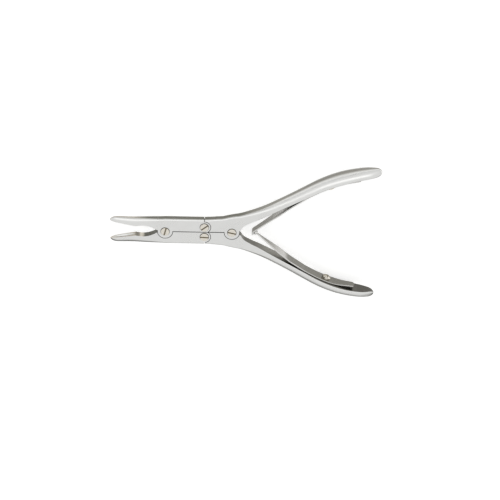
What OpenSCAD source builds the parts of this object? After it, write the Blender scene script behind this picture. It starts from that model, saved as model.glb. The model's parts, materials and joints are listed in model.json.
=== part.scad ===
// Double-action bone rongeur, lying flat with its jaws open.
// Two jaws turn on the front pivot, two handles turn on the rear pivot, and a link pivot
// joins each jaw to the handle on its own side. Every pivot is a half-lapped pair of round
// lugs held by a slotted screw. Two leaf springs, a ball on one held in a hook on the other,
// push the handles apart.
// X runs from the jaw tips to the handle ends, Y across, Z up. All sizes are millimetres.

/* [Linkage] */
// Distance from the front pivot to the rear pivot
pivot_span = 45.3; // [42:0.1:50]
// Distance from the rear pivot to the link pivots, along the tool
link_reach = 18.65; // [17:0.05:20]
// Distance between the two link pivots with the jaws open
link_spread = 7.42; // [7.2:0.02:8]
// Angle that each jaw stands open from the centreline
jaw_open = 10; // [8:0.5:12]

/* [Joint plates] */
// Thickness of the flat joint
plate_t = 5.5; // [5:0.1:7]
// Width of the closed joint, outer edge to outer edge
plate_w = 19.2; // [18:0.1:22]
// Gap between the jaws, between the handles and at the shoulders
slit = 0.45; // [0.2:0.05:0.6]
// Radius of the outer edges of the joint
edge_round = 1.7; // [0.3:0.1:2.2]
// Radius of the round lugs at the front and rear pivots
lug_r = 5; // [4.4:0.1:5.4]
// Radius of the round ears at the link pivots
ear_r = 4.1; // [3.8:0.1:4.4]
// Running gap round a lug or an ear
lug_clear = 0.4; // [0.1:0.05:0.5]
// Running gap between the two halves of a lap
lap_gap = 0.1; // [0.05:0.01:0.2]

/* [Pivot screws] */
// Diameter of the screw heads
head_d = 5.8; // [5.2:0.1:6.2]
// Height of a head above the plate
head_proud = 0.75; // [0.4:0.05:1]
// Depth of the shallow seat that a head sits in
head_sink = 0.4; // [0.2:0.05:0.8]
// Gap round a head in its seat
head_clear = 0.25; // [0.1:0.05:0.4]
// Diameter of the screw shanks
shank_d = 3.4; // [2.8:0.1:3.8]
// Running gap between a shank and the lug that turns on it, each side
bore_clear = 0.05; // [0.02:0.01:0.08]
// Gap of the looser pivot that closes the linkage, each side
loose_clear = 0.14; // [0.12:0.01:0.2]
// Gap between a shank's thread and the lug that holds it, each side
thread_clear = 0.02; // [0.01:0.01:0.04]
// Width of a screwdriver slot
slot_w = 1; // [0.5:0.05:1.2]
// Depth of a screwdriver slot
slot_deep = 0.55; // [0.3:0.05:0.8]

/* [Jaws] */
// Length of the jaws from the front pivot to the nose
jaw_len = 38.1; // [34:0.1:42]
// Gap between the two rims when the jaws are shut
rim_gap = 0.06; // [0.02:0.02:0.2]
// Distance from the front pivot to the heel of the cutting rim
heel_at = 20.3; // [18:0.1:22]
// Depth of the relieved throat in each jaw
throat_deep = 1.7; // [1:0.1:2.4]
// Length of the hollow in each jaw
cup_len = 16.6; // [14:0.1:17]
// Depth of the hollow, which is also half its width
cup_deep = 1.9; // [1.2:0.1:2.1]

/* [Handles] */
// Angle between a handle's inner face and the centreline, jaws open
grip_angle = 29.7; // [27:0.1:32]
// Distance by which the line of the inner face misses the rear pivot
grip_offset = 0.41; // [0.3:0.01:1]
// Length of a handle along its inner face, from the shoulder to the rounded end
grip_len = 128.4; // [122:0.1:134]
// Place along the handle where the straight inner face starts to curve
grip_straight = 82.6; // [76:0.1:88]
// Radius of the curve of the inner face
grip_curve_r = 97; // [85:1:120]
// Greatest thickness of a handle, in the plane of the tool
grip_t = 6.3; // [5.6:0.1:7.5]
// Greatest depth of a handle, top to bottom
grip_deep = 13.4; // [12:0.1:15]
// Length of the rounded nose at the handle's end, seen from the side
grip_nose = 11; // [8:0.5:14]

/* [Springs] */
// Thickness of the spring leaves
leaf_t = 0.9; // [0.7:0.05:1.1]
// Width of a leaf where it lies on the handle
leaf_w = 8.4; // [7.5:0.1:8.8]
// Width of the upper leaf at its hook
hook_w = 4; // [3.6:0.1:6]
// Width of the neck of the lower leaf
neck_w = 1.5; // [1.2:0.1:2]
// Diameter of the ball on the lower leaf
ball_d = 3.2; // [2.8:0.1:3.4]
// Gap between the ball and the hook
ball_clear = 0.12; // [0.08:0.02:0.2]
// Angle that the hook wraps round the ball
hook_wrap = 86; // [70:2:110]
// Place of the ball along the tool, from the rear pivot
ball_at = 16.1; // [13:0.1:18]
// Distance of the ball below the centreline
ball_low = 0.65; // [0:0.05:1]
// Place along the handle where a leaf leaves its inner face
leaf_off_at = 60.2; // [58:0.1:64]
// Place of the spring screw along the handle
leaf_screw_at = 93.1; // [91:0.1:97]
// Length of the leaf's tail behind its screw
leaf_tail = 20.5; // [15:0.5:22]
// Width of the leaf at the tail's end
tail_w = 5.5; // [4.5:0.1:7]
// Diameter of the domed head of a spring screw
dome_d = 5.7; // [5:0.1:6.2]
// Height of the head's straight side
dome_side = 1.3; // [0.6:0.1:1.8]
// Height of the dome above it
dome_h = 1.2; // [0.8:0.1:1.9]
// Diameter of the spring screw's shank
spring_shank_d = 2.6; // [2:0.1:3]
// Length of the spring screw's thread in the handle
spring_shank_len = 3.4; // [2.5:0.1:4]
// Gap between a leaf and what it lies on
leaf_gap = 0.03; // [0.02:0.01:0.06]

/* [Hidden] */
$fn = 64;

over = 1; // overrun of every cut
half_t = plate_t / 2;
half_deep = grip_deep / 2;
link_y = link_spread / 2;
jaw_arm = pivot_span - link_reach; // front pivot to link pivots, along the tool

// Bends of the inner faces near the pivots, hidden by the lugs
jaw_bend_r = 30;
grip_bend_r = 22;
// Length over which the outer edge rounds down at the handle's end and at the jaw's nose
grip_tip = 4;
jaw_nose = 3.4;
jaw_nose_side = 5;
// How far into the thickness the handle's end and the jaw's nose are centred
grip_tip_share = 0.45;
jaw_tip_share = 0.15;
// Corner radii of a fully round outer side, as shares of its thickness and of half its depth
oval_v_share = 0.86;
oval_z_share = 0.94;
// Stretches of a jaw and a handle, each [its end as a share of the length up to the nose,
// steps in it], and the steps round the nose
jaw_step_shares = [[1, 26]];
jaw_nose_n = 6;
grip_step_shares = [[0.14, 6], [0.34, 22], [1, 26]];
grip_nose_n = 7;
// Flat left between a jaw's lug and its throat
throat_land = 0.9;
// Turned edge of a pivot screw's head, as a share of its height above the plate
head_edge_share = 0.4;
// The spring leaves: bend where they leave the handle, and where the tail turns off it
leaf_bend_r = 40;
tail_bend_r = 36;
tail_bend_len = 8.5;
neck_len = 3.4;
neck_taper = 13;
hook_flat = 8.7; // length of the narrow front of the hooked leaf
hook_taper = 14; // length over which it widens
// Slots of the screw heads as they stand, from the X axis
front_slot = 75;
rear_slot = -13;
upper_link_slot = 38;
lower_link_slot = -3;

// Along a handle: place, thickness, depth, and how round the outer side is, 0 as a plate
// and 1 as a half oval. Places are shares of grip_len, thicknesses of grip_t.
hip_share = (plate_w - slit) / 2 / grip_t;
plate_share = plate_t / grip_deep;
grip_share = [
    [0, hip_share, plate_share, 0], [0.078, 1.075 * hip_share, plate_share, 0],
    [0.14, 1.13 * hip_share, plate_share, 0], [0.183, 1.08 * hip_share, plate_share, 0],
    [0.229, 1.3, 0.455, 0.06], [0.284, 1.09, 0.52, 0.25], [0.339, 0.94, 0.6, 0.5],
    [0.4, 0.88, 0.68, 0.75], [0.51, 0.89, 0.78, 0.95], [0.61, 0.94, 0.88, 1],
    [0.7, 0.98, 0.96, 1], [0.78, 1, 1, 1], [0.845, 0.98, 0.97, 1], [0.925, 0.94, 0.82, 1],
    [1, 0.84, 0.66, 1]];
// How far the inner face of a handle lies outside the line it is swept along, as shares of
// grip_t: it fills the crotch beside the pivot to a round, then is hollowed a little
grip_inner_share = [[0, 0], [0.12, 0], [0.156, -0.11], [0.18, -0.27], [0.192, -0.225],
    [0.206, -0.06], [0.223, 0.035], [0.262, 0.05], [0.28, 0.035], [0.31, 0], [1, 0]];
jaw_inner_share = [[0, 0], [1, 0]];
// Along a jaw, from its shoulder: place as a share of the whole jaw's length, thickness as a
// share of the arm's width, depth as a share of half the plate's thickness, roundness
jaw_share = [
    [0, 1, 1, 0], [0.4, 1, 1, 0], [0.44, 0.98, 1, 0],
    [0.52, 0.88, 1, 0.1], [0.6, 0.78, 1, 0.3], [0.68, 0.68, 0.99, 0.55],
    [0.76, 0.58, 0.95, 0.8], [0.84, 0.5, 0.87, 1], [0.92, 0.42, 0.74, 1], [1, 0.32, 0.58, 1]];

// Smooth reading of a table whose first column is the place. It keeps level stretches level.
function row_at(table, x, i = 0) =
    i >= len(table) - 2 || x < table[i + 1][0] ? i : row_at(table, x, i + 1);
function smooth_at(table, x, col) =
    let (i = row_at(table, x), n = len(table) - 1,
         a = table[max(i - 1, 0)], b = table[i], c = table[i + 1], d = table[min(i + 2, n)],
         w = c[0] - b[0], t = min(max((x - b[0]) / w, 0), 1),
         in_slope = (c[col] - b[col]) * (b[col] - a[col]) <= 0 ? 0
             : (c[col] - a[col]) / (c[0] - a[0]) * w,
         out_slope = (d[col] - c[col]) * (c[col] - b[col]) <= 0 ? 0
             : (d[col] - b[col]) / (d[0] - b[0]) * w)
    b[col] * (2 * t ^ 3 - 3 * t ^ 2 + 1) + in_slope * (t ^ 3 - 2 * t ^ 2 + t)
    + c[col] * (3 * t ^ 2 - 2 * t ^ 3) + out_slope * (t ^ 3 - t ^ 2);

// A path made of straights and arcs, each [length, angle it turns to the left].
// walk() gives [x, y, heading] at a distance along it.
function arc_step(reach, turn, d) =
    abs(turn) < 0.001 ? [d, 0]
    : let (r = reach / turn * 180 / PI, a = turn * d / reach) [r * sin(a), r * (1 - cos(a))];
function walk(legs, s, x = 0, y = 0, h = 0, i = 0) =
    let (leg = legs[i], last = i == len(legs) - 1, d = last ? s : min(s, leg[0]),
         p = arc_step(leg[0], leg[1], d), h2 = h + leg[1] * d / leg[0],
         x2 = x + p[0] * cos(h) - p[1] * sin(h), y2 = y + p[0] * sin(h) + p[1] * cos(h))
    last || s <= leg[0] ? [x2, y2, h2] : walk(legs, s - leg[0], x2, y2, h2, i + 1);

// Distances along a loft: even steps in each stretch, then closer and closer ones round the nose
function steps(total, nose, shares, m) = concat(
    [for (i = [0 : len(shares) - 1])
        let (from = i == 0 ? 0 : shares[i - 1][0], n = shares[i][1])
        for (k = [0 : n - 1]) (total - nose) * (from + (shares[i][0] - from) * k / n)],
    [for (i = [0 : m]) total - nose + nose * sin(nose_stop * i / m)]);
// How much of the full size is left at distance s, where the last stretch rounds to nothing
function nose_left(total, s, nose) =
    s < total - nose ? 1 : sqrt(max(1 - ((s - total + nose) / nose) ^ 2, 0));

// One section of a jaw or handle: flat on the inner side, corners rounded on the outer
corner_n = 5;
nose_stop = 84; // angle round a nose at which its small end face lies
function section(t, a, corner_v, corner_z, v0) = concat(
    [[v0, -a]],
    [for (i = [0 : corner_n]) let (w = 90 * i / corner_n)
        [v0 + t - corner_v + corner_v * sin(w), -a + corner_z - corner_z * cos(w)]],
    [for (i = [0 : corner_n]) let (w = 90 * i / corner_n)
        [v0 + t - corner_v + corner_v * cos(w), a - corner_z + corner_z * sin(w)]],
    [[v0, a]]);

// Rings of points joined into a closed skin
module skin(rings) {
    n = len(rings[0]);
    m = len(rings);
    points = [for (ring = rings) each ring];
    sides = [for (j = [0 : m - 2]) for (i = [0 : n - 1])
        let (a = j * n + i, b = j * n + (i + 1) % n)
        each [[a, b + n, b], [a, a + n, b + n]]];
    ends = [[for (i = [0 : n - 1]) i], [for (i = [n - 1 : -1 : 0]) (m - 1) * n + i]];
    polyhedron(points = points, faces = concat(sides, ends), convexity = 6);
}

// A jaw or handle swept along the line of its inner face, which starts at (x0, y0)
module arm_loft(legs, x0, y0, total, table, inner, full_t, full_a, nose, tip, tip_share,
        step_shares, m) {
    rings = [for (s = steps(total, nose, step_shares, m))
        let (at = walk(legs, s, x0, y0), share = s / total,
             t0 = full_t * smooth_at(table, share, 1),
             a0 = full_a * smooth_at(table, share, 2),
             round_by = min(max(smooth_at(table, share, 3), 0), 1),
             v_in = full_t * smooth_at(inner, share, 1),
             t = (t0 - v_in) * nose_left(total, s, tip), a = a0 * nose_left(total, s, nose),
             v0 = v_in + (t0 - v_in - t) * tip_share,
             corner_v = min(edge_round, t / 2) * (1 - round_by) + oval_v_share * t * round_by,
             corner_z = min(edge_round, a / 2) * (1 - round_by) + oval_z_share * a * round_by)
        [for (p = section(t, a, corner_v, corner_z, v0))
            [at[0] - p[0] * sin(at[2]), at[1] + p[0] * cos(at[2]), p[1]]]];
    skin(rings);
}

// Inner face of a jaw, from the shoulder to the nose, with the front pivot at 0, 0.
// It bends at the pivot so that the two rims meet along the centreline when the jaws shut.
jaw_total = jaw_arm - slit / 2 + jaw_len;
jaw_corner = (slit / 2 * cos(jaw_open) - rim_gap / 2) / sin(jaw_open);
jaw_tangent = jaw_bend_r * tan(jaw_open / 2);
jaw_legs = [
    [jaw_arm - slit / 2 + jaw_corner - jaw_tangent, 0],
    [jaw_bend_r * jaw_open * PI / 180, jaw_open],
    [jaw_len, 0]];
function jaw_walk(s) = walk(jaw_legs, s, -jaw_arm + slit / 2, slit / 2);

// Inner face of a handle, from the shoulder to the end, with the rear pivot at 0, 0
grip_corner = (slit / 2 * cos(grip_angle) - grip_offset) / sin(grip_angle);
grip_tangent = grip_bend_r * tan(grip_angle / 2);
grip_bend_end = link_reach - slit / 2 + grip_corner - grip_tangent
    + grip_bend_r * grip_angle * PI / 180;
grip_legs = [
    [link_reach - slit / 2 + grip_corner - grip_tangent, 0],
    [grip_bend_r * grip_angle * PI / 180, grip_angle],
    [grip_straight - grip_bend_end, 0],
    [grip_len - grip_straight, -(grip_len - grip_straight) / grip_curve_r * 180 / PI]];
function grip_walk(s) = walk(grip_legs, s, -link_reach + slit / 2, slit / 2);

// Half of a lap: what lies above the lap plane for the upper layer, below it for the lower
module layer(upper, r, clear = 0) {
    low = upper ? (clear > 0 ? -lap_gap / 2 : lap_gap / 2) : -half_t - (clear > 0 ? over : 0);
    high = upper ? half_t + (clear > 0 ? over : 0) : (clear > 0 ? lap_gap / 2 : -lap_gap / 2);
    translate([0, 0, low]) cylinder(r = r + clear, h = high - low);
}

// A round lug, and the pocket that the other piece's lug turns in
module lug(upper) {
    layer(upper, lug_r);
}
module lug_pocket(upper) {
    layer(upper, lug_r, lug_clear);
}

// A round ear, cut off along the centreline, and the pocket for the other piece's ear
module ear(upper) {
    intersection() {
        translate([0, link_y]) layer(upper, ear_r);
        translate([-ear_r - over, slit / 2, -plate_t])
            cube([2 * (ear_r + over), link_y + ear_r + over, 2 * plate_t]);
    }
}
module ear_pocket(upper) {
    translate([0, link_y]) layer(upper, ear_r, lug_clear);
}

// A hole right through, and one with the shallow seat of a screw head on top
module bore(clear) {
    translate([0, 0, -half_t - over]) cylinder(d = shank_d + 2 * clear, h = plate_t + 2 * over);
}
module seated_bore(clear) {
    bore(clear);
    translate([0, 0, half_t - head_sink])
        cylinder(d = head_d + 2 * head_clear, h = head_sink + over);
}

// The hollow of a jaw: a slim spindle turned about the line of the rim
module cup() {
    bow_r = (cup_len ^ 2 / 4 + cup_deep ^ 2) / (2 * cup_deep);
    translate([heel_at + cup_len / 2, 0]) rotate([0, 90, 0]) rotate_extrude($fn = 96)
        intersection() {
            translate([cup_deep - bow_r, 0]) circle(bow_r, $fn = 180);
            translate([0, -cup_len / 2]) square([cup_deep, cup_len]);
        }
}

// The relieved throat between the heel of the rim and the lug
module throat() {
    throat_len = heel_at - lug_r - throat_land;
    bow_r = (throat_len ^ 2 / 4 + throat_deep ^ 2) / (2 * throat_deep);
    translate([heel_at - throat_len / 2, throat_deep - bow_r, -half_t - over])
        cylinder(r = bow_r, h = plate_t + 2 * over, $fn = 180);
}

// One jaw, with the front pivot at 0, 0 and its nose towards +X. The lug of one jaw is in
// the upper layer and the other's in the lower, while both ears are in the upper layer.
module jaw(upper_lug, screw_clear, link_clear) {
    difference() {
        union() {
            difference() {
                arm_loft(jaw_legs, -jaw_arm + slit / 2, slit / 2, jaw_total, jaw_share,
                    jaw_inner_share, (plate_w - slit) / 2, half_t, jaw_nose_side, jaw_nose,
                    jaw_tip_share, jaw_step_shares, jaw_nose_n);
                lug_pocket(!upper_lug);
                translate([-jaw_arm, 0]) ear_pocket(false);
                rotate([0, 0, jaw_open]) {
                    throat();
                    cup();
                }
            }
            lug(upper_lug);
            translate([-jaw_arm, 0]) ear(true);
        }
        if (upper_lug) seated_bore(screw_clear);
        else bore(screw_clear);
        translate([-jaw_arm, link_y]) seated_bore(link_clear);
    }
}

// One handle, with the rear pivot at 0, 0 and its end towards +X. Both ears are in the
// lower layer.
module handle(upper_lug, screw_clear) {
    screw_at = grip_walk(leaf_screw_at);
    difference() {
        union() {
            difference() {
                arm_loft(grip_legs, -link_reach + slit / 2, slit / 2, grip_len, grip_share,
                    grip_inner_share, grip_t, half_deep, grip_nose, grip_tip, grip_tip_share,
                    grip_step_shares, grip_nose_n);
                lug_pocket(!upper_lug);
                translate([-link_reach, 0]) ear_pocket(true);
            }
            lug(upper_lug);
            translate([-link_reach, 0]) ear(false);
        }
        if (upper_lug) seated_bore(screw_clear);
        else bore(screw_clear);
        translate([-link_reach, link_y]) bore(thread_clear);
        translate([screw_at[0], screw_at[1]]) rotate([-90, 0, screw_at[2]])
            translate([0, 0, -over]) cylinder(d = spring_shank_d + 2 * thread_clear,
                h = spring_shank_len + 2 * leaf_gap + over);
    }
}

// A slotted pivot screw: a flat head with a turned edge, and a plain shank
module pivot_screw(slot_angle) {
    seat = half_t - head_sink + lap_gap / 2;
    top = half_t + head_proud;
    foot = -half_t + lap_gap;
    edge = head_proud * head_edge_share;
    difference() {
        rotate_extrude()
            polygon([[0, foot], [shank_d / 2, foot], [shank_d / 2, seat], [head_d / 2, seat],
                [head_d / 2, top - edge], [head_d / 2 - edge, top], [0, top]]);
        rotate([0, 0, slot_angle]) translate([-head_d, -slot_w / 2, top - slot_deep])
            cube([2 * head_d, slot_w, slot_deep + over]);
    }
}

// The spring leaves. Their middle line starts at the screw, at the seat on the handle, and
// runs to the ball one way and to the tail's end the other way.
leaf_mid = leaf_gap + leaf_t / 2;
screw_spot = grip_walk(leaf_screw_at);
function beside(at, d) = [at[0] - d * sin(at[2]), at[1] + d * cos(at[2]), at[2]];
leaf_root = beside(screw_spot, -leaf_mid);
leaf_corner = beside(grip_walk(leaf_off_at), -leaf_mid);
curved_leg = [(leaf_screw_at - grip_straight) * (grip_curve_r - leaf_mid) / grip_curve_r,
    (leaf_screw_at - grip_straight) / grip_curve_r * 180 / PI];
// From the corner to the ball: side is how far the middle line passes beside the ball
function leaf_run(ball, side) =
    let (d = norm(ball - [leaf_corner[0], leaf_corner[1]]),
         to_ball = atan2(ball[1] - leaf_corner[1], ball[0] - leaf_corner[0]),
         turn = to_ball + 360 - asin(side / d) - (leaf_corner[2] + 180))
    [sqrt(d ^ 2 - side ^ 2), turn];
function leaf_legs(run) =
    let (cut = leaf_bend_r * tan(run[1] / 2))
    [curved_leg, [grip_straight - leaf_off_at - cut, 0],
     [leaf_bend_r * run[1] * PI / 180, run[1]], [run[0] - cut, 0]];
function legs_total(legs, i = 0) = i == len(legs) ? 0 : legs[i][0] + legs_total(legs, i + 1);

// A leaf as a list of [x, y, heading towards the ball, width]
tail_legs = [[dome_d / 2, -dome_d / 2 / (grip_curve_r - leaf_mid) * 180 / PI],
    [tail_bend_len, -tail_bend_len / tail_bend_r * 180 / PI], [leaf_tail, 0]];
tail_n = 8;
leaf_n = 40;
hook_n = 8;
tail_rows = [for (i = [tail_n : -1 : 1])
    let (s = leaf_tail * i / tail_n,
         at = walk(tail_legs, s, leaf_root[0], leaf_root[1], leaf_root[2]))
    [at[0], at[1], at[2] + 180, lookup(s, [[dome_d / 2, leaf_w], [leaf_tail, tail_w]])]];
function front_rows(legs, widths) =
    let (total = legs_total(legs))
    [for (i = [0 : leaf_n])
        let (s = total * i / leaf_n,
             at = walk(legs, s, leaf_root[0], leaf_root[1], leaf_root[2] + 180))
        [at[0], at[1], at[2], lookup(total - s, widths)]];

module leaf(rows) {
    skin([for (row = rows)
        [for (c = [[-1, -1], [-1, 1], [1, 1], [1, -1]])
            let (side = c[0] * leaf_t / 2)
            [row[0] + side * sin(row[2]), row[1] - side * cos(row[2]), c[1] * row[3] / 2]]]);
}
module leaf_hole() {
    translate([leaf_root[0], leaf_root[1]]) rotate([-90, 0, leaf_root[2]])
        translate([0, 0, -leaf_t]) cylinder(d = spring_shank_d + 2 * bore_clear, h = 2 * leaf_t);
}

// The ball as each handle sees it, and the radius of the hook's middle line round it
lower_ball = [ball_at, ball_low];
upper_ball = [ball_at, -ball_low];
hook_r = ball_d / 2 + ball_clear + leaf_t / 2;
lower_legs = leaf_legs(leaf_run(lower_ball, 0));
upper_legs = leaf_legs(leaf_run(upper_ball, hook_r));
upper_front = front_rows(upper_legs,
    [[0, hook_w], [hook_flat, hook_w], [hook_flat + hook_taper, leaf_w]]);
hook_start = upper_front[leaf_n];
hook_len = hook_r * hook_wrap * PI / 180;
hook_rows = [for (i = [1 : hook_n])
    let (at = walk([[hook_len, hook_wrap]], hook_len * i / hook_n,
             hook_start[0], hook_start[1], hook_start[2]))
    [at[0], at[1], at[2], hook_w]];

// The ball's leaf: its tip stops inside the ball, and the neck is as wide as neck_w
module ball_leaf() {
    difference() {
        union() {
            leaf(concat(tail_rows, front_rows(lower_legs,
                [[0, neck_w], [neck_len, neck_w], [neck_len + neck_taper, leaf_w]])));
            translate(lower_ball) sphere(d = ball_d);
        }
        leaf_hole();
    }
}
// The hooked leaf, which curls over the ball and down its far side
module hook_leaf() {
    difference() {
        leaf(concat(tail_rows, upper_front, hook_rows));
        leaf_hole();
    }
}

// A screw with a tall domed head that holds a leaf on its handle. The leaf is hollow there,
// so the head's edge rides higher than its middle would.
module spring_screw() {
    dome_r = (dome_d ^ 2 / 4 + dome_h ^ 2) / (2 * dome_h);
    hollow = dome_d ^ 2 / 8 / grip_curve_r;
    seat = leaf_t + 2 * leaf_gap + hollow;
    translate([screw_spot[0], screw_spot[1]]) rotate([90, 0, screw_spot[2]])
        difference() {
            union() {
                translate([0, 0, -spring_shank_len])
                    cylinder(d = spring_shank_d, h = spring_shank_len + seat + dome_side / 2);
                translate([0, 0, seat]) rotate_extrude() intersection() {
                    translate([0, dome_side + dome_h - dome_r]) circle(dome_r, $fn = 120);
                    square([dome_d / 2, dome_side + dome_h]);
                }
            }
            rotate([0, 0, 90]) translate([-dome_d, -slot_w / 2, seat + dome_side + dome_h - slot_deep])
                cube([2 * dome_d, slot_w, slot_deep + over]);
        }
}

// Places of the pieces. The tool stands on the deepest part of its handles, and its middle,
// from the noses to the handle ends, is over the origin.
front_end = pivot_span + jaw_walk(jaw_total)[0];
rear_end = grip_walk(grip_len)[0];
rear_x = (front_end - rear_end) / 2;

module at_rear(side) {
    translate([rear_x, 0, half_deep]) mirror([0, side < 0 ? 1 : 0, 0]) children();
}
module at_front(side) {
    translate([rear_x - pivot_span, 0, half_deep]) mirror([1, 0, 0])
        mirror([0, side < 0 ? 1 : 0, 0]) children();
}
module at_link(side) {
    translate([rear_x - link_reach, side * link_y, half_deep]) children();
}

module upper_jaw() {
    color([0.80, 0.80, 0.80]) at_front(1) jaw(true, bore_clear, loose_clear);
}
module lower_jaw() {
    color([0.76, 0.76, 0.76]) at_front(-1) jaw(false, thread_clear, bore_clear);
}
module upper_handle() {
    color([0.78, 0.78, 0.78]) at_rear(1) handle(true, bore_clear);
}
module lower_handle() {
    color([0.74, 0.74, 0.74]) at_rear(-1) handle(false, thread_clear);
}
module front_pivot_screw() {
    color([0.86, 0.84, 0.80]) translate([rear_x - pivot_span, 0, half_deep]) pivot_screw(front_slot);
}
module rear_pivot_screw() {
    color([0.86, 0.84, 0.80]) translate([rear_x, 0, half_deep]) pivot_screw(rear_slot);
}
module upper_link_screw() {
    color([0.86, 0.84, 0.80]) at_link(1) pivot_screw(upper_link_slot);
}
module lower_link_screw() {
    color([0.86, 0.84, 0.80]) at_link(-1) pivot_screw(lower_link_slot);
}
module upper_leaf_spring() {
    color([0.62, 0.60, 0.58]) at_rear(1) hook_leaf();
}
module lower_leaf_spring() {
    color([0.62, 0.60, 0.58]) at_rear(-1) ball_leaf();
}
module upper_spring_screw() {
    color([0.82, 0.80, 0.76]) at_rear(1) spring_screw();
}
module lower_spring_screw() {
    color([0.82, 0.80, 0.76]) at_rear(-1) spring_screw();
}

upper_jaw();
lower_jaw();
upper_handle();
lower_handle();
front_pivot_screw();
rear_pivot_screw();
upper_link_screw();
lower_link_screw();
upper_leaf_spring();
lower_leaf_spring();
upper_spring_screw();
lower_spring_screw();
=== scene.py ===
import json
import math

import bmesh
import bpy
from mathutils import Matrix, Vector


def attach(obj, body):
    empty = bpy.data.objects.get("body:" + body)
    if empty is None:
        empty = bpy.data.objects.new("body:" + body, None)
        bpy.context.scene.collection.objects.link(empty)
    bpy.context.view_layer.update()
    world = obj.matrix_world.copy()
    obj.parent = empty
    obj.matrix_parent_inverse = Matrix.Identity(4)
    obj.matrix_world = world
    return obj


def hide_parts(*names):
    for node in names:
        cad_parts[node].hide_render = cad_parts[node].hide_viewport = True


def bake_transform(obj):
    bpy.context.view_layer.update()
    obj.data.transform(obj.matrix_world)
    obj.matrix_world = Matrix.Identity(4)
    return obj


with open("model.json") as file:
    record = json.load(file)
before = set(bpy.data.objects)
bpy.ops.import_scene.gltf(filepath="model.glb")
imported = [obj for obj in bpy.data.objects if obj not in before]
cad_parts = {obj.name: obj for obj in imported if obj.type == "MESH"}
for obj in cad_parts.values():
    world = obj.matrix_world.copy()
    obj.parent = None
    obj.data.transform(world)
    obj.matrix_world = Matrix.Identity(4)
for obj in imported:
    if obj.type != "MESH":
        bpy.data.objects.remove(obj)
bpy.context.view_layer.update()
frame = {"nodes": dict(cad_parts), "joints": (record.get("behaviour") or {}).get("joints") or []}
mm = 0.001
print("frame loaded:", len(frame["nodes"]), "nodes")

# Where the pivots are, in millimetres in the frame
pivotOf = {j["name"]: Vector(j["pos_m"]) / mm for j in frame["joints"]}
rearPivot = pivotOf["handle_pivot"]
frontPivot = pivotOf["jaw_pivot"]
lowerLink = pivotOf["lower_link_pivot"]
upperLink = Vector((lowerLink.x, -lowerLink.y, lowerLink.z))
linkReach = rearPivot.x - lowerLink.x
jawArm = lowerLink.x - frontPivot.x
linkY = upperLink.y
midZ = rearPivot.z

# The flat joint and its screws, in millimetres; cutters run past what they cut by the last one
joint = {
    "thick": 5.5, "wide": 19.2, "slit": 0.45, "edgeRound": 1.7,
    "lugR": 5.0, "earR": 4.1, "lugClear": 0.4, "lapGap": 0.1,
    "headD": 5.8, "headProud": 0.75, "headSink": 0.4, "headClear": 0.25, "headEdge": 0.3,
    "shankD": 3.4, "boreClear": 0.05, "slotWide": 1.0, "slotDeep": 0.55,
    "over": 1.0,
}
halfT = joint["thick"] / 2
halfSlit = joint["slit"] / 2
armWide = (joint["wide"] - joint["slit"]) / 2

# Shares of the unit bar's section that its rounded outer and inner edges take
outerZone = 0.4
innerZone = 0.1

# Shares of an arm's thickness and half height that its corners take where it is fully crowned, and the
# most that the rounding of an inner edge takes of either
crown = {"across": 0.86, "up": 0.94, "innerMost": 0.25}

# Points closer than the weld become one, and edges that turn more than the sharp angle stay sharp
finish = {"weldMm": 0.004, "turnedWeldMm": 1e-4, "sharpAngle": 32, "flatWeight": 60}

# A leg of a path that turns less than this, in degrees, is straight
leastTurn = 1e-3


def smoothAt(table, x, col):
    # smooth reading of a table whose first column is the place
    i = 0
    while i < len(table) - 2 and x >= table[i + 1][0]:
        i += 1
    a, b, c, d = table[max(i - 1, 0)], table[i], table[i + 1], table[min(i + 2, len(table) - 1)]
    width = c[0] - b[0]
    t = min(max((x - b[0]) / width, 0), 1)
    rise = c[col] - b[col]
    inSlope = 0 if rise * (b[col] - a[col]) <= 0 else (c[col] - a[col]) / (c[0] - a[0]) * width
    outSlope = 0 if rise * (d[col] - c[col]) <= 0 else (d[col] - b[col]) / (d[0] - b[0]) * width
    return (b[col] * (2 * t**3 - 3 * t**2 + 1) + inSlope * (t**3 - 2 * t**2 + t)
            + c[col] * (3 * t**2 - 2 * t**3) + outSlope * (t**3 - t**2))


def walk(legs, s, x, y, heading=0.0):
    # along straights and arcs, each (length, degrees it turns left); gives x, y, heading
    for i, (reach, turn) in enumerate(legs):
        last = i == len(legs) - 1
        d = s if last else min(s, reach)
        if abs(turn) < leastTurn:
            forward, side = d, 0.0
        else:
            r = reach / math.radians(turn)
            a = math.radians(turn) * d / reach
            forward, side = r * math.sin(a), r * (1 - math.cos(a))
        c, n = math.cos(math.radians(heading)), math.sin(math.radians(heading))
        x, y = x + forward * c - side * n, y + forward * n + side * c
        heading += turn * d / reach
        if last or s <= reach:
            return x, y, heading
        s -= reach


def unitBar(cuts, outerSteps, innerSteps):
    # a bar 1 long whose flat side lies on y = 0, with its long edges rounded, in many rings
    bm = bmesh.new()
    bmesh.ops.create_cube(bm, size=1)
    bmesh.ops.translate(bm, verts=bm.verts, vec=(0.5, 0.5, 0))
    bmesh.ops.scale(bm, verts=bm.verts, vec=(1, 1, 2))
    lengthwise = [e for e in bm.edges if abs(e.verts[0].co.x - e.verts[1].co.x) > 0.5]
    outer = [e for e in lengthwise if e.verts[0].co.y > 0.5]
    inner = [e for e in lengthwise if e.verts[0].co.y < 0.5]
    for edges, offset, steps in ((outer, outerZone, outerSteps), (inner, innerZone, innerSteps)):
        bmesh.ops.bevel(bm, geom=edges, offset=offset, offset_type="OFFSET", affect="EDGES",
                        segments=steps, profile=0.5, material=-1)
    lengthwise = [e for e in bm.edges if abs(e.verts[0].co.x - e.verts[1].co.x) > 0.5]
    bmesh.ops.subdivide_edges(bm, edges=lengthwise, cuts=cuts, use_grid_fill=False)
    return bm


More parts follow.
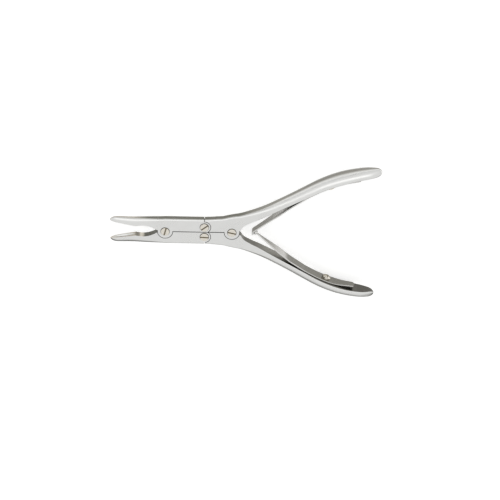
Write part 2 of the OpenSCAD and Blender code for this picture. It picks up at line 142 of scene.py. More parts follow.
def sectionPoint(v, w, thick, half, cornerV, cornerZ, innerR):
    # a point of the unit bar's section, v across and w up, in the real section
    sign = -1 if w < 0 else 1
    if v > 0.5:
        return (thick - cornerV + cornerV * (v - 1 + outerZone) / outerZone,
                sign * (half - cornerZ + cornerZ * (abs(w) - 1 + outerZone) / outerZone))
    return innerR * v / innerZone, sign * (half - innerR + innerR * (abs(w) - 1 + innerZone) / innerZone)


def ringPlace(u, total, nose, bodyShare=0.8, stop=math.radians(88)):
    # rings evenly along the arm, then closer and closer round its nose, to just short of its end
    if u < bodyShare:
        return (total - nose) * u / bodyShare
    return total - nose + nose * math.sin(stop * (u - bodyShare) / (1 - bodyShare))


def noseLeft(total, s, nose):
    # how much of the section is left at s, where the end is round over the nose's length
    return 1.0 if s < total - nose else math.sqrt(max(1 - ((s - total + nose) / nose) ** 2, 0))


def armBar(arm, legs, startX, startY, total):
    # a jaw or a handle without its joint, swept along its inner face
    bm = unitBar(arm["cuts"], arm["cornerSteps"], arm["innerSteps"])
    for vert in bm.verts:
        s = ringPlace(vert.co.x, total, arm["nose"])
        x, y, heading = walk(legs, s, startX, startY)
        share = s / total
        t0 = arm["thick"] * smoothAt(arm["rows"], share, 1)
        a0 = arm["half"] * smoothAt(arm["rows"], share, 2)
        roundBy = min(max(smoothAt(arm["rows"], share, 3), 0), 1)
        inset = arm["thick"] * smoothAt(arm["inner"], share, 1)
        t, a = (t0 - inset) * noseLeft(total, s, arm["tip"]), a0 * noseLeft(total, s, arm["nose"])
        cornerV = min(joint["edgeRound"], t / 2) * (1 - roundBy) + crown["across"] * t * roundBy
        cornerZ = min(joint["edgeRound"], a / 2) * (1 - roundBy) + crown["up"] * a * roundBy
        innerR = min(arm["innerRound"] + arm["innerMore"] * roundBy, crown["innerMost"] * min(t, a))
        v, w = sectionPoint(vert.co.y, vert.co.z, t, a, cornerV, cornerZ, innerR)
        v += inset + (t0 - inset - t) * arm["tipShare"]
        side = math.radians(heading)
        vert.co = (x - v * math.sin(side), y + v * math.cos(side), w)
    return bm


def asObject(name, bm):
    mesh = bpy.data.meshes.new(name)
    bm.to_mesh(mesh)
    bm.free()
    piece = bpy.data.objects.new(name, mesh)
    bpy.context.scene.collection.objects.link(piece)
    return piece


def disc(r, low, high, x=0.0, y=0.0, steps=128):
    bm = bmesh.new()
    bmesh.ops.create_cone(bm, cap_ends=True, segments=steps, radius1=r, radius2=r, depth=high - low)
    bmesh.ops.translate(bm, verts=bm.verts, vec=(x, y, (low + high) / 2))
    return bm


def block(low, high):
    # a box between two corners
    bm = bmesh.new()
    bmesh.ops.create_cube(bm, size=1)
    bmesh.ops.scale(bm, verts=bm.verts, vec=[b - a for a, b in zip(low, high)])
    bmesh.ops.translate(bm, verts=bm.verts, vec=[(b + a) / 2 for a, b in zip(low, high)])
    return bm


def turned(profile, steps=96):
    # a profile of (radius, height) points spun about Z
    bm = bmesh.new()
    verts = [bm.verts.new((r, 0, z)) for r, z in profile]
    edges = [bm.edges.new(pair) for pair in zip(verts, verts[1:])]
    bmesh.ops.spin(bm, geom=verts + edges, cent=(0, 0, 0), axis=(0, 0, 1), angle=math.tau,
                   steps=steps, use_merge=True)
    bmesh.ops.remove_doubles(bm, verts=bm.verts, dist=finish["turnedWeldMm"])
    bmesh.ops.recalc_face_normals(bm, faces=bm.faces)
    return bm


def rotate(bm, degrees):
    turn = Matrix.Rotation(math.radians(degrees), 3, "Z")
    bmesh.ops.rotate(bm, verts=bm.verts, cent=(0, 0, 0), matrix=turn)


def combine(piece, bm, how):
    # cuts bm out of the piece, joins it on, or keeps what both hold
    tool = asObject("tool", bm)
    mod = piece.modifiers.new("combine", "BOOLEAN")
    mod.operation = how
    mod.solver = "EXACT"
    mod.object = tool
    bpy.context.view_layer.update()
    done = bpy.data.meshes.new_from_object(piece.evaluated_get(bpy.context.evaluated_depsgraph_get()))
    piece.modifiers.clear()
    old, piece.data = piece.data, done
    bpy.data.meshes.remove(old)
    toolMesh = tool.data
    bpy.data.objects.remove(tool)
    bpy.data.meshes.remove(toolMesh)


def seat(piece, matrix, body, node, material):
    # puts a finished piece in its place in the frame, in metres, with clean normals
    bm = bmesh.new()
    bm.from_mesh(piece.data)
    bmesh.ops.transform(bm, matrix=Matrix.Scale(mm, 4) @ matrix, verts=bm.verts)
    bmesh.ops.remove_doubles(bm, verts=bm.verts, dist=finish["weldMm"] * mm)
    bmesh.ops.dissolve_degenerate(bm, edges=bm.edges, dist=finish["weldMm"] * mm)
    bmesh.ops.recalc_face_normals(bm, faces=bm.faces)
    for face in bm.faces:
        face.smooth = True
    for edge in bm.edges:
        edge.smooth = not edge.is_manifold or edge.calc_face_angle() < math.radians(finish["sharpAngle"])
    bm.to_mesh(piece.data)
    bm.free()
    piece.data.materials.clear()
    piece.data.materials.append(material)
    weight = piece.modifiers.new("flatsStayFlat", "WEIGHTED_NORMAL")
    weight.keep_sharp = True
    weight.weight = finish["flatWeight"]
    if isinstance(body, str):
        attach(piece, body)
    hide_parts(node)
    return piece


# Materials

def linear(hexColour):
    # sRGB hex to the linear values that Blender's sockets take
    channels = [int(hexColour[i:i + 2], 16) / 255 for i in (1, 3, 5)]
    return [c / 12.92 if c <= 0.04045 else ((c + 0.055) / 1.055) ** 2.4 for c in channels] + [1]


def addNode(tree, kind, inputs=None, **settings):
    # one node with its settings; each input takes a number, a hex colour or another node's output
    node = tree.nodes.new(kind)
    for key, value in settings.items():
        setattr(node, key, value)
    for key, value in (inputs or {}).items():
        if isinstance(value, bpy.types.NodeSocket):
            tree.links.new(value, node.inputs[key])
        else:
            node.inputs[key].default_value = linear(value) if isinstance(value, str) else value
    return node


def maths(tree, operation, *values):
    return addNode(tree, "ShaderNodeMath", dict(enumerate(values)), operation=operation).outputs[0]


def mixNumber(tree, factor, low, high):
    # low where the factor is 0, high where it is 1; the node's inputs go by their order
    return addNode(tree, "ShaderNodeMix", {0: factor, 2: low, 3: high}).outputs[0]


def mixColour(tree, factor, low, high):
    return addNode(tree, "ShaderNodeMix", {0: factor, 6: low, 7: high}, data_type="RGBA").outputs[2]


def remap(tree, value, low, high, toLow=0.0, toHigh=1.0):
    # a smooth step from one range to another
    inputs = {"Value": value, "From Min": low, "From Max": high, "To Min": toLow, "To Max": toHigh}
    return addNode(tree, "ShaderNodeMapRange", inputs, interpolation_type="SMOOTHSTEP").outputs["Result"]


def along(tree, value, stops):
    # a colour for each place, with stops of (millimetres, hex colour)
    low, high = stops[0][0], stops[-1][0]
    inputs = {"Value": value, "From Min": low * mm, "From Max": high * mm}
    place = addNode(tree, "ShaderNodeMapRange", inputs)
    ramp = addNode(tree, "ShaderNodeValToRGB", {"Fac": place.outputs["Result"]})
    points = ramp.color_ramp.elements
    while len(points) < len(stops):
        points.new(1)
    for point, (at, colour) in zip(points, stops):
        point.position = (at - low) / (high - low)
        point.color = linear(colour)
    return ramp.outputs["Color"]


def noise(tree, coords, size, detail, roughness):
    # noise whose features are about this many millimetres
    perMetre = 1 / mm
    inputs = {"Vector": coords, "Scale": perMetre / size, "Detail": detail, "Roughness": roughness}
    return addNode(tree, "ShaderNodeTexNoise", inputs).outputs["Fac"]


# How the tints meet: how far a face leans to one side, and how many millimetres they take past the
# centreline, over the floor of a slot and behind the joint
meet = {"lean": 0.2, "centre": 2.0, "floor": 0.3, "behind": 10.0}


def tintSides(tree, look, where, facing, tint):
    # painted reflection and shade: the sides are painted darker than the faces, with a few painted bright
    # stretches, and the faces keep the base tint top and bottom
    start, end, near, far = look["sideShadeReach"]
    span = (where["X"], start * mm, end * mm)
    sides = along(tree, where["X"], look["side"])
    low, high = look["sideOnly"], remap(tree, *span, near, far)
    if "lowSide" in look:
        # painted reflection and shade: the edges along the top, and those turned away from it, have painted
        # colours of their own
        top = along(tree, where["X"], look["topSide"])
        sides = mixColour(tree, remap(tree, where["Y"], 0, meet["centre"] * mm), sides, top)
        across = remap(tree, facing["Y"], -meet["lean"], meet["lean"])
        sides = mixColour(tree, across, along(tree, where["X"], look["lowSide"]), sides)
        low = mixNumber(tree, across, remap(tree, *span, *look["lowFrom"]), low)
        high = mixNumber(tree, across, remap(tree, *span, *look["lowTo"]), high)
    return mixColour(tree, remap(tree, maths(tree, "ABSOLUTE", facing["Z"]), low, high), sides, tint)


def tintSlots(tree, look, where, facing, tint):
    # painted shade: the floors of the pivot screws' slots are darkened all over
    floor = look["slotFloor"]
    above = remap(tree, where["Z"], floor * mm, (floor + meet["floor"]) * mm)
    behind = remap(tree, where["X"], 0, meet["behind"] * mm)
    below = remap(tree, facing["Z"], -meet["lean"], meet["lean"], 1, 0)
    clear = maths(tree, "MAXIMUM", maths(tree, "MAXIMUM", above, behind), below)
    return mixColour(tree, clear, look["slotTint"], tint)


def steel(name, look):
    # stainless steel: a base tint, cloudy roughness, and a fine ground texture along the tool, with painted
    # reflection and shade on the sides and painted shade in crevices
    material = bpy.data.materials.new(name)
    material.use_nodes = True
    tree = material.node_tree
    tree.nodes.clear()
    coords = addNode(tree, "ShaderNodeTexCoord").outputs["Object"]
    normal = addNode(tree, "ShaderNodeNewGeometry").outputs["Normal"]
    where = addNode(tree, "ShaderNodeSeparateXYZ", {"Vector": coords}).outputs
    facing = addNode(tree, "ShaderNodeSeparateXYZ", {"Vector": normal}).outputs
    stretched = addNode(tree, "ShaderNodeMapping", {"Vector": coords, "Scale": look["grainStretch"]})
    cloud = noise(tree, coords, look["cloudMm"], detail=3.0, roughness=0.55)
    grain = noise(tree, stretched.outputs["Vector"], look["grainMm"], detail=4.0, roughness=0.6)
    tint = mixColour(tree, cloud, look["dark"], look["light"])
    tint = tintSides(tree, look, where, facing, tint)
    # painted shade: crevices and gaps between parts get a dark line where ambient occlusion is low
    hollow = addNode(tree, "ShaderNodeAmbientOcclusion", {"Distance": look["creviceMm"] * mm}, samples=8)
    tint = mixColour(tree, remap(tree, hollow.outputs["AO"], *look["open"]), look["crevice"], tint)
    if "slotFloor" in look:
        tint = tintSlots(tree, look, where, facing, tint)
    rough = remap(tree, cloud, *look["cloudRange"], *look["rough"])
    bump = addNode(tree, "ShaderNodeBump", {
        "Height": grain, "Strength": look["bump"], "Distance": look["bumpMm"] * mm})
    shader = addNode(tree, "ShaderNodeBsdfPrincipled", {
        "Base Color": tint, "Metallic": 1.0, "Roughness": rough, "Normal": bump.outputs["Normal"]})
    addNode(tree, "ShaderNodeOutputMaterial", {"Surface": shader.outputs["BSDF"]})
    return material


# Satin stainless steel, ground and brushed along the tool: pale faces, with painted reflection and shade on
# the darker sides
satinSteel = steel("satinStainlessSteel", {
    "dark": "#EAEAE8", "light": "#F3F3F1", "sideOnly": 0.1, "sideShadeReach": (0, 28, 0.95, 0.6),
    "side": [
        (-92, "#BDB6AA"), (-75, "#B5AE9F"), (-73, "#7A766C"), (-71.4, "#8A857A"), (-70.4, "#D6D0C3"),
        (-68.8, "#CFC9BB"), (-67.4, "#5F5E55"), (-58, "#5A5951"), (-2, "#66655C"), (7, "#6E6C65"),
        (18, "#8C8A83"), (45, "#787670"), (74, "#65635C"), (80, "#55534D"), (92, "#55534D")],
    "topSide": [
        (-92, "#A8A297"), (-75, "#A8A297"), (-65, "#6C6B62"), (-2, "#6C6B62"), (8, "#87857E"),
        (25, "#8A8881"), (45, "#83817B"), (92, "#8E8C86")],
    "lowSide": [
        (-92, "#4A4842"), (-62, "#4A4842"), (-50, "#C0C0BE"), (-5, "#C0C0BE"), (12, "#55534D"),
        (92, "#4A4842")],
    "lowFrom": (0.85, 0.72), "lowTo": (0.995, 1.0),
    "open": (0.4, 0.9), "crevice": "#3E3B34", "creviceMm": 0.6,
    "rough": (0.26, 0.34), "cloudMm": 9.0, "cloudRange": (0.3, 0.7),
    "grainMm": 0.5, "grainStretch": (0.12, 1.0, 1.0), "bump": 0.12, "bumpMm": 0.02})
# Turned stainless steel of the screws: warmer, with painted shade on the sides and painted shade in the
# slots
turnedSteel = steel("turnedStainlessSteel", {
    "dark": "#ECE6DA", "light": "#F4EFE4", "sideOnly": 0.1, "sideShadeReach": (0, 1, 0.5, 0.5),
    "side": [(-92, "#B9B3A4"), (0, "#B9B3A4"), (20, "#8E887A"), (92, "#8E887A")],
    "slotFloor": midZ + halfT + joint["headProud"] - joint["slotDeep"], "slotTint": "#877F6E",
    "open": (0.1, 0.6), "crevice": "#575044", "creviceMm": 1.0,
    "rough": (0.2, 0.28), "cloudMm": 2.0, "cloudRange": (0.3, 0.7),
    "grainMm": 0.3, "grainStretch": (1.0, 1.0, 1.0), "bump": 0.08, "bumpMm": 0.02})
# Polished spring steel of the leaves: a little darker, with painted shade on the faces and a painted
# reflection, a bright stretch, where the lower one widens
springSteel = steel("polishedSpringSteel", {
    "dark": "#E0DFDC", "light": "#EAE9E6", "sideOnly": 0.15, "sideShadeReach": (0, 1, 0.6, 0.6),
    "side": [
        (9, "#7F7D76"), (16, "#8C8A84"), (21, "#A8A6A1"), (24, "#BDBBB7"), (28, "#C6C4C0"),
        (30.6, "#7C7A73"), (60, "#7A7871"), (92, "#7A7871")],
    "open": (0.4, 0.9), "crevice": "#34312B", "creviceMm": 0.6,
    "rough": (0.22, 0.3), "cloudMm": 6.0, "cloudRange": (0.3, 0.7),
    "grainMm": 0.4, "grainStretch": (0.15, 1.0, 1.0), "bump": 0.1, "bumpMm": 0.02})
print("materials made")


# The joint's lugs, ears and bores

def layerOf(upper, clear):
    # heights of one half of the lap, with room round it where clear
    low, high = (-halfT - joint["over"], joint["lapGap"] / 2) if clear else (-halfT, -joint["lapGap"] / 2)
    return (-high, -low) if upper else (low, high)


def lug(upper, clear=0.0, r=joint["lugR"], x=0.0, y=0.0):
    low, high = layerOf(upper, clear > 0)
    return disc(r + clear, low, high, x, y)


def ear(upper, x):
    # round, and cut off along the centreline
    piece = asObject("ear", lug(upper, 0, joint["earR"], x, linkY))
    r, high = joint["earR"] + joint["over"], halfT + joint["over"]
    combine(piece, block((x - r, halfSlit, -high), (x + r, linkY + r, high)), "INTERSECT")
    bm = bmesh.new()
    bm.from_mesh(piece.data)
    bpy.data.objects.remove(piece)
    return bm


def drill(piece, seated, x=0.0, y=0.0):
    # a bore for a pivot screw, with a seat for its head in the upper piece
    high = halfT + joint["over"]
    combine(piece, disc(joint["shankD"] / 2 + joint["boreClear"], -high, high, x, y), "DIFFERENCE")
    if seated:
        r = joint["headD"] / 2 + joint["headClear"]
        combine(piece, disc(r, halfT - joint["headSink"], high, x, y), "DIFFERENCE")


def makeArm(name, arm, legs, reach, total, upperLug, upperEar, cutters=()):
    # a jaw or a handle, with a lug at its pivot and an ear at its link, which is at its reach
    piece = asObject(name, armBar(arm, legs, -reach + halfSlit, halfSlit, total))
    combine(piece, lug(not upperLug, joint["lugClear"]), "DIFFERENCE")
    combine(piece, lug(not upperEar, joint["lugClear"], joint["earR"], -reach, linkY), "DIFFERENCE")
    for cutter in cutters:
        combine(piece, cutter, "DIFFERENCE")
    combine(piece, lug(upperLug), "UNION")
    combine(piece, ear(upperEar, -reach), "UNION")
    drill(piece, upperLug)
    drill(piece, upperEar, -reach, linkY)
    return piece


# Jaws. In these lines the pivot is at 0, 0 and the nose towards +X; the mirror puts them right.
# Rows hold shares of the length, the thickness and the half height, and how far the arm is crowned.
# Inner holds shares of the length, and of the thickness by which the inner face stands in.
jawShape = {
    "opening": 10.0, "length": 38.07, "bendR": 30.0, "rimGap": 0.06,
    "heelAt": 20.3, "throatDeep": 1.7, "throatLand": 0.9, "cupLength": 16.6, "cupDeep": 1.9,
    "thick": armWide, "half": halfT,
    "nose": 5.0, "tip": 3.4, "tipShare": 0.15, "innerRound": 0.13, "innerMore": 0.0,
    "cuts": 110, "cornerSteps": 10, "innerSteps": 2, "cupSteps": 16,
    "inner": [(0, 0), (1, 0)],
    "rows": [
        (0, 1, 1, 0), (0.4, 1, 1, 0), (0.44, 0.98, 1, 0), (0.52, 0.88, 1, 0.1),
        (0.6, 0.78, 1, 0.3), (0.68, 0.68, 0.99, 0.55), (0.76, 0.58, 0.95, 0.8),
        (0.84, 0.5, 0.87, 1), (0.92, 0.42, 0.74, 1), (1, 0.32, 0.58, 1)],
}


def jawLegs():
    j = jawShape
    turn = math.radians(j["opening"])
    corner = (halfSlit * math.cos(turn) - j["rimGap"] / 2) / math.sin(turn)
    tangent = j["bendR"] * math.tan(turn / 2)
    return [(jawArm - halfSlit + corner - tangent, 0),
            (j["bendR"] * turn, j["opening"]), (j["length"], 0)]


def cupCutter():
    # a slim spindle along the line of the rim
    j = jawShape
    half, deep, steps = j["cupLength"] / 2, j["cupDeep"], j["cupSteps"]
    bow = (half**2 + deep**2) / (2 * deep)
    points = [(math.sqrt(bow**2 - (half * k / steps) ** 2) - bow + deep, half * k / steps)
              for k in range(-steps, steps + 1)]
    bm = turned([(max(r, 0.0), z) for r, z in points], steps=64)
    place = (Matrix.Rotation(math.radians(j["opening"]), 4, "Z")
             @ Matrix.Translation((j["heelAt"] + half, 0, 0)) @ Matrix.Rotation(math.pi / 2, 4, "Y"))
    bmesh.ops.transform(bm, matrix=place, verts=bm.verts)
    return bm


def throatCutter():
    # a large round cut between the lug and the cup's heel
    j = jawShape
    length = j["heelAt"] - joint["lugR"] - j["throatLand"]
    deep, high = j["throatDeep"], halfT + joint["over"]
    bow = (length**2 / 4 + deep**2) / (2 * deep)
    bm = disc(bow, -high, high, j["heelAt"] - length / 2, deep - bow, steps=360)
    rotate(bm, j["opening"])
    return bm


def makeJaw(name, upperLug):
    total = jawArm - halfSlit + jawShape["length"]
    return makeArm(name, jawShape, jawLegs(), jawArm, total, upperLug, True, (throatCutter(), cupCutter()))


def placeJaw(side):
    return Matrix.Translation(frontPivot) @ Matrix.Diagonal((-1, side, 1, 1))


for name, side, upperLug in (("upperJaw", 1, True), ("lowerJaw", -1, False)):
    node = name.replace("Jaw", "_jaw")
    seat(makeJaw(name, upperLug), placeJaw(side), node, node, satinSteel)
print("jaws made")

# Handles. The pivot is at 0, 0 and the end towards +X.
gripShape = {
    "angle": 29.7, "offset": 0.41, "length": 128.34, "straight": 82.6, "curveR": 97.0, "bendR": 22.0,
    "thick": 6.29, "half": midZ - 0.003,
    "nose": 11.0, "tip": 4.0, "tipShare": 0.45, "innerRound": 0.22, "innerMore": 0.4,
    "cuts": 230, "cornerSteps": 12, "innerSteps": 4,
    "inner": [
        (0, 0), (0.12, 0), (0.156, -0.11), (0.18, -0.27), (0.192, -0.225), (0.206, -0.06),
        (0.223, 0.035), (0.262, 0.05), (0.28, 0.035), (0.31, 0), (1, 0)],
}
hip = armWide / gripShape["thick"]
plate = joint["thick"] / 2 / gripShape["half"]
gripShape["rows"] = [
    (0, hip, plate, 0), (0.078, 1.075 * hip, plate, 0), (0.14, 1.13 * hip, plate, 0),
    (0.183, 1.08 * hip, plate, 0), (0.229, 1.3, 0.455, 0.06), (0.284, 1.09, 0.52, 0.25),
    (0.339, 0.94, 0.6, 0.5), (0.4, 0.88, 0.68, 0.75), (0.51, 0.89, 0.78, 0.95),
    (0.61, 0.94, 0.88, 1), (0.7, 0.98, 0.96, 1), (0.78, 1, 1, 1), (0.845, 0.98, 0.97, 1),
    (0.925, 0.94, 0.82, 1), (1, 0.84, 0.66, 1)]


def gripLegs():
    g = gripShape
    turn = math.radians(g["angle"])
    corner = (halfSlit * math.cos(turn) - g["offset"]) / math.sin(turn)
    tangent = g["bendR"] * math.tan(turn / 2)
    first = linkReach - halfSlit + corner - tangent
    rest = g["length"] - g["straight"]
    return [(first, 0), (g["bendR"] * turn, g["angle"]),
            (g["straight"] - first - g["bendR"] * turn, 0), (rest, -math.degrees(rest / g["curveR"]))]


def gripWalk(s):
    return walk(gripLegs(), s, -linkReach + halfSlit, halfSlit)


def makeHandle(name, upperLug):
    return makeArm(name, gripShape, gripLegs(), linkReach, gripShape["length"], upperLug, False)


def placeHandle(side):
    return Matrix.Translation(rearPivot) @ Matrix.Diagonal((1, side, 1, 1))


for name, side, upperLug in (("upperHandle", 1, True), ("lowerHandle", -1, False)):
    node = name.replace("Handle", "_handle")
    seat(makeHandle(name, upperLug), placeHandle(side), node, node, satinSteel)
print("handles made")

# Pivot screws: a turned head with a rounded edge, a slot and a plain shank. Slots in degrees from X.
slots = {"front": 75, "rear": -13, "upperLink": 38, "lowerLink": -3}
rimAngles = [math.radians(angle) for angle in range(0, 91, 15)]


def slotCutter(r, top, angle):
    # across a head of this radius
    half, over = joint["slotWide"] / 2, joint["over"]
    bm = block((-r - over, -half, top - joint["slotDeep"]), (r + over, half, top + over))
    rotate(bm, angle)
    return bm


def makePivotScrew(name, angle):
    r, top, edge = joint["headD"] / 2, halfT + joint["headProud"], joint["headEdge"]
    seatZ = halfT - joint["headSink"] + joint["lapGap"] / 2
    foot = -halfT + joint["lapGap"]
    shank = joint["shankD"] / 2
    rim = [(r - edge + edge * math.cos(a), top - edge + edge * math.sin(a)) for a in rimAngles]
    piece = asObject(name, turned([(0, foot), (shank, foot), (shank, seatZ), (r, seatZ)] + rim + [(0, top)]))
    combine(piece, slotCutter(r, top, angle), "DIFFERENCE")
    return piece


for name, node, place, body in (
        ("front", "front_pivot_screw", frontPivot, "lower_jaw"),
        ("rear", "rear_pivot_screw", rearPivot, "lower_handle"),
        ("upperLink", "upper_link_screw", upperLink, "upper_handle"),
        ("lowerLink", "lower_link_screw", lowerLink, "lower_handle")):
    seat(makePivotScrew(name + "Screw", slots[name]), Matrix.Translation(place), body, node,
         turnedSteel)

# Leaf springs, in the handle's lines: places along the grip, and lengths and widths of the leaf
leaf = {
    "thick": 0.9, "wide": 8.4, "gap": 0.03, "edge": 0.2, "edgeSteps": 3, "corner": 1.0, "cuts": 150,
    "screwAt": 93.1, "offAt": 77.0, "offR": 40.0, "cornerAt": 63.0, "cornerOff": 1.4, "cornerR": 12.0,
    "tail": 20.5, "tailWide": 5.5, "tailBend": 8.5, "tailBendR": 36.0,
    "neck": 3.4, "neckWide": 1.5, "neckTaper": 18.0,
    "ballD": 3.2, "ballClear": 0.12, "ballAt": 16.1, "ballLow": 0.65,
    "hookWrap": 86.0, "hookWide": 5.8, "hookFlat": 8.7, "hookTaper": 14.0,
    "bendShare": 0.88,
}
domed = {"d": 5.7, "side": 1.3, "h": 1.2, "shankD": 2.6, "steps": 10, "slot": 90}
leafMid = leaf["gap"] + leaf["thick"] / 2


def beside(at, d):
    side = math.radians(at[2])
    return at[0] - d * math.sin(side), at[1] + d * math.cos(side), at[2]


screwSpot = gripWalk(leaf["screwAt"])
leafRoot = beside(screwSpot, -leafMid)
leafOff = beside(gripWalk(leaf["offAt"]), -leafMid)
leafCorner = beside(gripWalk(leaf["cornerAt"]), -leafMid - leaf["cornerOff"])


def frontLegs(ballY, side):
    # from the screw, off the handle, round a corner, and past the ball at that distance to its side
    dx, dy = leafCorner[0] - leafOff[0], leafCorner[1] - leafOff[1]
    leave = math.degrees(math.atan2(dy, dx)) + 360
    span = math.hypot(dx, dy)
    offTurn = leave - (leafOff[2] + 180)
    offCut = leaf["offR"] * math.tan(math.radians(offTurn) / 2)
    dx, dy = leaf["ballAt"] - leafCorner[0], ballY - leafCorner[1]
    reach = math.hypot(dx, dy)
    turn = math.degrees(math.atan2(dy, dx)) + 360 - math.degrees(math.asin(side / reach)) - leave
    cut = leaf["cornerR"] * math.tan(math.radians(turn) / 2)
    curved = leaf["screwAt"] - gripShape["straight"]
    inner = (gripShape["curveR"] - leafMid) / gripShape["curveR"]
    return [(curved * inner, math.degrees(curved / gripShape["curveR"])),
            (gripShape["straight"] - leaf["offAt"] - offCut, 0),
            (leaf["offR"] * math.radians(offTurn), offTurn),
            (span - offCut - cut, 0),
            (leaf["cornerR"] * math.radians(turn), turn),
            (math.sqrt(reach**2 - side**2) - cut, 0)]


# The tail, from the screw on: flat under its head, then bent on round the grip, then straight
under = domed["d"] / 2
tailLegs = [(under, -math.degrees(under / (gripShape["curveR"] - leafMid))),
            (leaf["tailBend"], -math.degrees(leaf["tailBend"] / leaf["tailBendR"])), (leaf["tail"], 0)]
tailWidths = [(under, leaf["wide"]), (leaf["tail"], leaf["tailWide"])]


def widthAt(d, table):
    for (a, wa), (b, wb) in zip(table, table[1:]):
        if d <= b:
            return wa + (wb - wa) * max(d - a, 0) / (b - a)
    return table[-1][1]


def leafBar(legs, hookLength, widths):
    # the whole leaf, from its tail's end to the ball, and round it; widths are told back from the ball
    front = sum(length for length, turn in legs) - hookLength
    total = leaf["tail"] + front + hookLength
    rounding = [leaf["edge"]] * 3
    bm = unitBar(leaf["cuts"], leaf["edgeSteps"], leaf["edgeSteps"])
    for vert in bm.verts:
        s = vert.co.x * total
        if s < leaf["tail"]:
            x, y, heading = walk(tailLegs, leaf["tail"] - s, *leafRoot)
            heading += 180
            half = widthAt(leaf["tail"] - s, tailWidths) / 2
        else:
            x, y, heading = walk(legs, s - leaf["tail"], leafRoot[0], leafRoot[1], leafRoot[2] + 180)
            half = widthAt(max(leaf["tail"] + front - s, 0), widths) / 2
        ending = min(s, total - s)
        half -= leaf["corner"] * (1 - math.sqrt(1 - max(1 - ending / leaf["corner"], 0) ** 2))
        v, w = sectionPoint(vert.co.y, vert.co.z, leaf["thick"], half, *rounding)
        side = math.radians(heading)
        v -= leaf["thick"] / 2
        vert.co = (x - v * math.sin(side), y + v * math.cos(side), w)
    return bm


def makeLowerLeaf():
    widths = [(0, leaf["neckWide"]), (leaf["neck"], leaf["neckWide"]),
              (leaf["neck"] + leaf["neckTaper"], leaf["wide"])]
    piece = asObject("lowerLeafSpring", leafBar(frontLegs(leaf["ballLow"], 0), 0, widths))
    ball = bmesh.new()
    bmesh.ops.create_uvsphere(ball, u_segments=48, v_segments=24, radius=leaf["ballD"] / 2)
    bmesh.ops.translate(ball, verts=ball.verts, vec=(leaf["ballAt"], leaf["ballLow"], 0))
    combine(piece, ball, "UNION")
    return piece


def makeUpperLeaf():
    ring = leaf["ballD"] / 2 + leaf["ballClear"] + leaf["thick"] / 2
    hookLength = ring * math.radians(leaf["hookWrap"])
    legs = frontLegs(-leaf["ballLow"], ring) + [(hookLength, leaf["hookWrap"])]
    widths = [(0, leaf["hookWide"]), (leaf["hookFlat"], leaf["hookWide"]),
              (leaf["hookFlat"] + leaf["hookTaper"], leaf["wide"])]
    return asObject("upperLeafSpring", leafBar(legs, hookLength, widths))


def makeDomedScrew(name):
    # its head bears on the leaf, which follows the grip's curve
    r, h, steps = domed["d"] / 2, domed["h"], domed["steps"]
    ball = (r**2 + h**2) / (2 * h)
    seatZ = leaf["thick"] + 2 * leaf["gap"] + domed["d"] ** 2 / 8 / gripShape["curveR"]
    top = seatZ + domed["side"] + h
    edgeAngle = math.asin(r / ball)
    dome = [(ball * math.sin(edgeAngle * k / steps), top - ball + ball * math.cos(edgeAngle * k / steps))
            for k in range(steps, -1, -1)]
    shank = domed["shankD"] / 2
    piece = asObject(name, turned([(0, 0), (shank, 0), (shank, seatZ), (r, seatZ)] + dome))
    combine(piece, slotCutter(r, top, domed["slot"]), "DIFFERENCE")
    return piece


def placeDome(side):
    return (placeHandle(side) @ Matrix.Translation((screwSpot[0], screwSpot[1], 0))
            @ Matrix.Rotation(math.radians(screwSpot[2]), 4, "Z") @ Matrix.Rotation(math.pi / 2, 4, "X"))


for make, side, node, handle in ((makeUpperLeaf, 1, "upper_leaf_spring", "upper_handle"),
                                 (makeLowerLeaf, -1, "lower_leaf_spring", "lower_handle")):
    piece = seat(make(), placeHandle(side), None, node, springSteel)
    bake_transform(piece)
for side, node, handle in ((1, "upper_spring_screw", "upper_handle"),
                           (-1, "lower_spring_screw", "lower_handle")):
    name = node.replace("_spring_screw", "SpringScrew")
    seat(makeDomedScrew(name), placeDome(side), handle, node, turnedSteel)
print("springs and screws made")

# Camera: the photograph's view, from above and from the upper handle's side
view = {
    "tilt": 30.0, "roll": 1.13, "away": 1045.0, "mmPerPixel": 0.68,
    "pivotPixel": (231.9, 230.8), "frame": 500, "sensor": 36, "clip": (0.05, 20),
}


def makeCamera():
    tilt, roll = math.radians(view["tilt"]), math.radians(view["roll"])
    right0, up0 = Vector((1, 0, 0)), Vector((0, math.cos(tilt), -math.sin(tilt)))
    right = right0 * math.cos(roll) + up0 * math.sin(roll)
    up = up0 * math.cos(roll) - right0 * math.sin(roll)
    eye = rearPivot + view["away"] * Vector((0, math.sin(tilt), math.cos(tilt)))
    half = view["frame"] / 2
    aim = (rearPivot + right * (half - view["pivotPixel"][0]) * view["mmPerPixel"]
           - up * (half - view["pivotPixel"][1]) * view["mmPerPixel"])
    back = (eye - aim).normalized()
    right = up.cross(back).normalized()
    up = back.cross(right)
    data = bpy.data.cameras.new("camera")
    data.sensor_width = view["sensor"]
    data.lens = view["sensor"] * view["away"] / view["mmPerPixel"] / view["frame"]
    data.clip_start, data.clip_end = view["clip"]
    camera = bpy.data.objects.new("camera", data)
    camera.matrix_world = (Matrix.Translation(eye * mm)
                           @ Matrix((right, up, back)).transposed().to_4x4())
    bpy.context.scene.collection.objects.link(camera)
    bpy.context.scene.camera = camera


makeCamera()

# Floor and light. The room brightens from the horizon up to a share of the height overhead.
studio = {
    "floor": "#DCDCDB", "floorSize": 6.0, "floorLift": 0.55,
    "horizon": 0.6, "overhead": 0.98, "fullFrom": 0.35,
    # name, direction to the lamp, distance, size along X, size across, brightness
    "lamps": [("softbox", (0, 0.5, 1.0), 0.8, 1.0, 0.34, 0.5)],
}


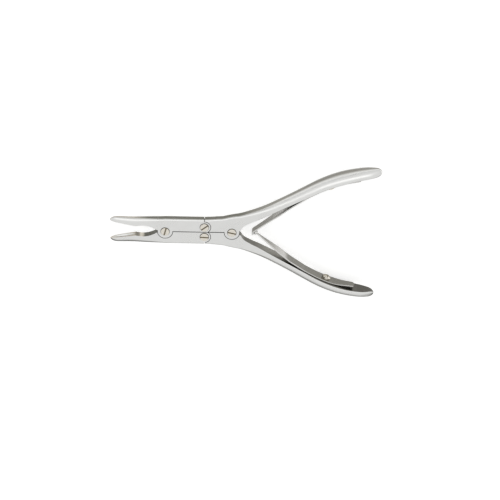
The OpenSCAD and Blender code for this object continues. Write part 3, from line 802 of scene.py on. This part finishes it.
def makeFloor():
    # it glows a little to the camera and in the steel, which leaves it white with a soft shadow
    bm = bmesh.new()
    bmesh.ops.create_grid(bm, x_segments=1, y_segments=1, size=studio["floorSize"] / 2)
    floor = asObject("floor", bm)
    material = bpy.data.materials.new("paleFloor")
    material.use_nodes = True
    tree = material.node_tree
    tree.nodes.clear()
    paper = addNode(tree, "ShaderNodeBsdfDiffuse", {"Color": studio["floor"]})
    ray = addNode(tree, "ShaderNodeLightPath").outputs
    seen = maths(tree, "MAXIMUM", ray["Is Camera Ray"], ray["Is Glossy Ray"])
    seen = maths(tree, "MAXIMUM", seen, ray["Is Transmission Ray"])
    lift = maths(tree, "MULTIPLY", seen, studio["floorLift"])
    glow = addNode(tree, "ShaderNodeEmission", {"Strength": lift})
    both = addNode(tree, "ShaderNodeAddShader", {0: paper.outputs[0], 1: glow.outputs[0]})
    addNode(tree, "ShaderNodeOutputMaterial", {"Surface": both.outputs[0]})
    floor.data.materials.append(material)


def makeRoom():
    world = bpy.data.worlds.new("softStudio")
    bpy.context.scene.world = world
    world.use_nodes = True
    tree = world.node_tree
    tree.nodes.clear()
    direction = addNode(tree, "ShaderNodeTexCoord").outputs["Generated"]
    height = addNode(tree, "ShaderNodeSeparateXYZ", {"Vector": direction}).outputs["Z"]
    level = remap(tree, height, 0, studio["fullFrom"], studio["horizon"], studio["overhead"])
    back = addNode(tree, "ShaderNodeBackground", {"Strength": level})
    addNode(tree, "ShaderNodeOutputWorld", {"Surface": back.outputs[0]})


def makeLamps():
    for name, direction, away, long, wide, bright in studio["lamps"]:
        data = bpy.data.lights.new(name, "AREA")
        data.shape = "RECTANGLE"
        data.size = long
        data.size_y = wide
        data.energy = bright * math.pi * long * wide
        lamp = bpy.data.objects.new(name, data)
        place = Vector(direction).normalized() * away
        lamp.location = place
        lamp.rotation_euler = place.to_track_quat("Z", "Y").to_euler()
        bpy.context.scene.collection.objects.link(lamp)


makeFloor()
makeRoom()
makeLamps()
bpy.context.scene.view_settings.view_transform = "Standard"
print("studio made")
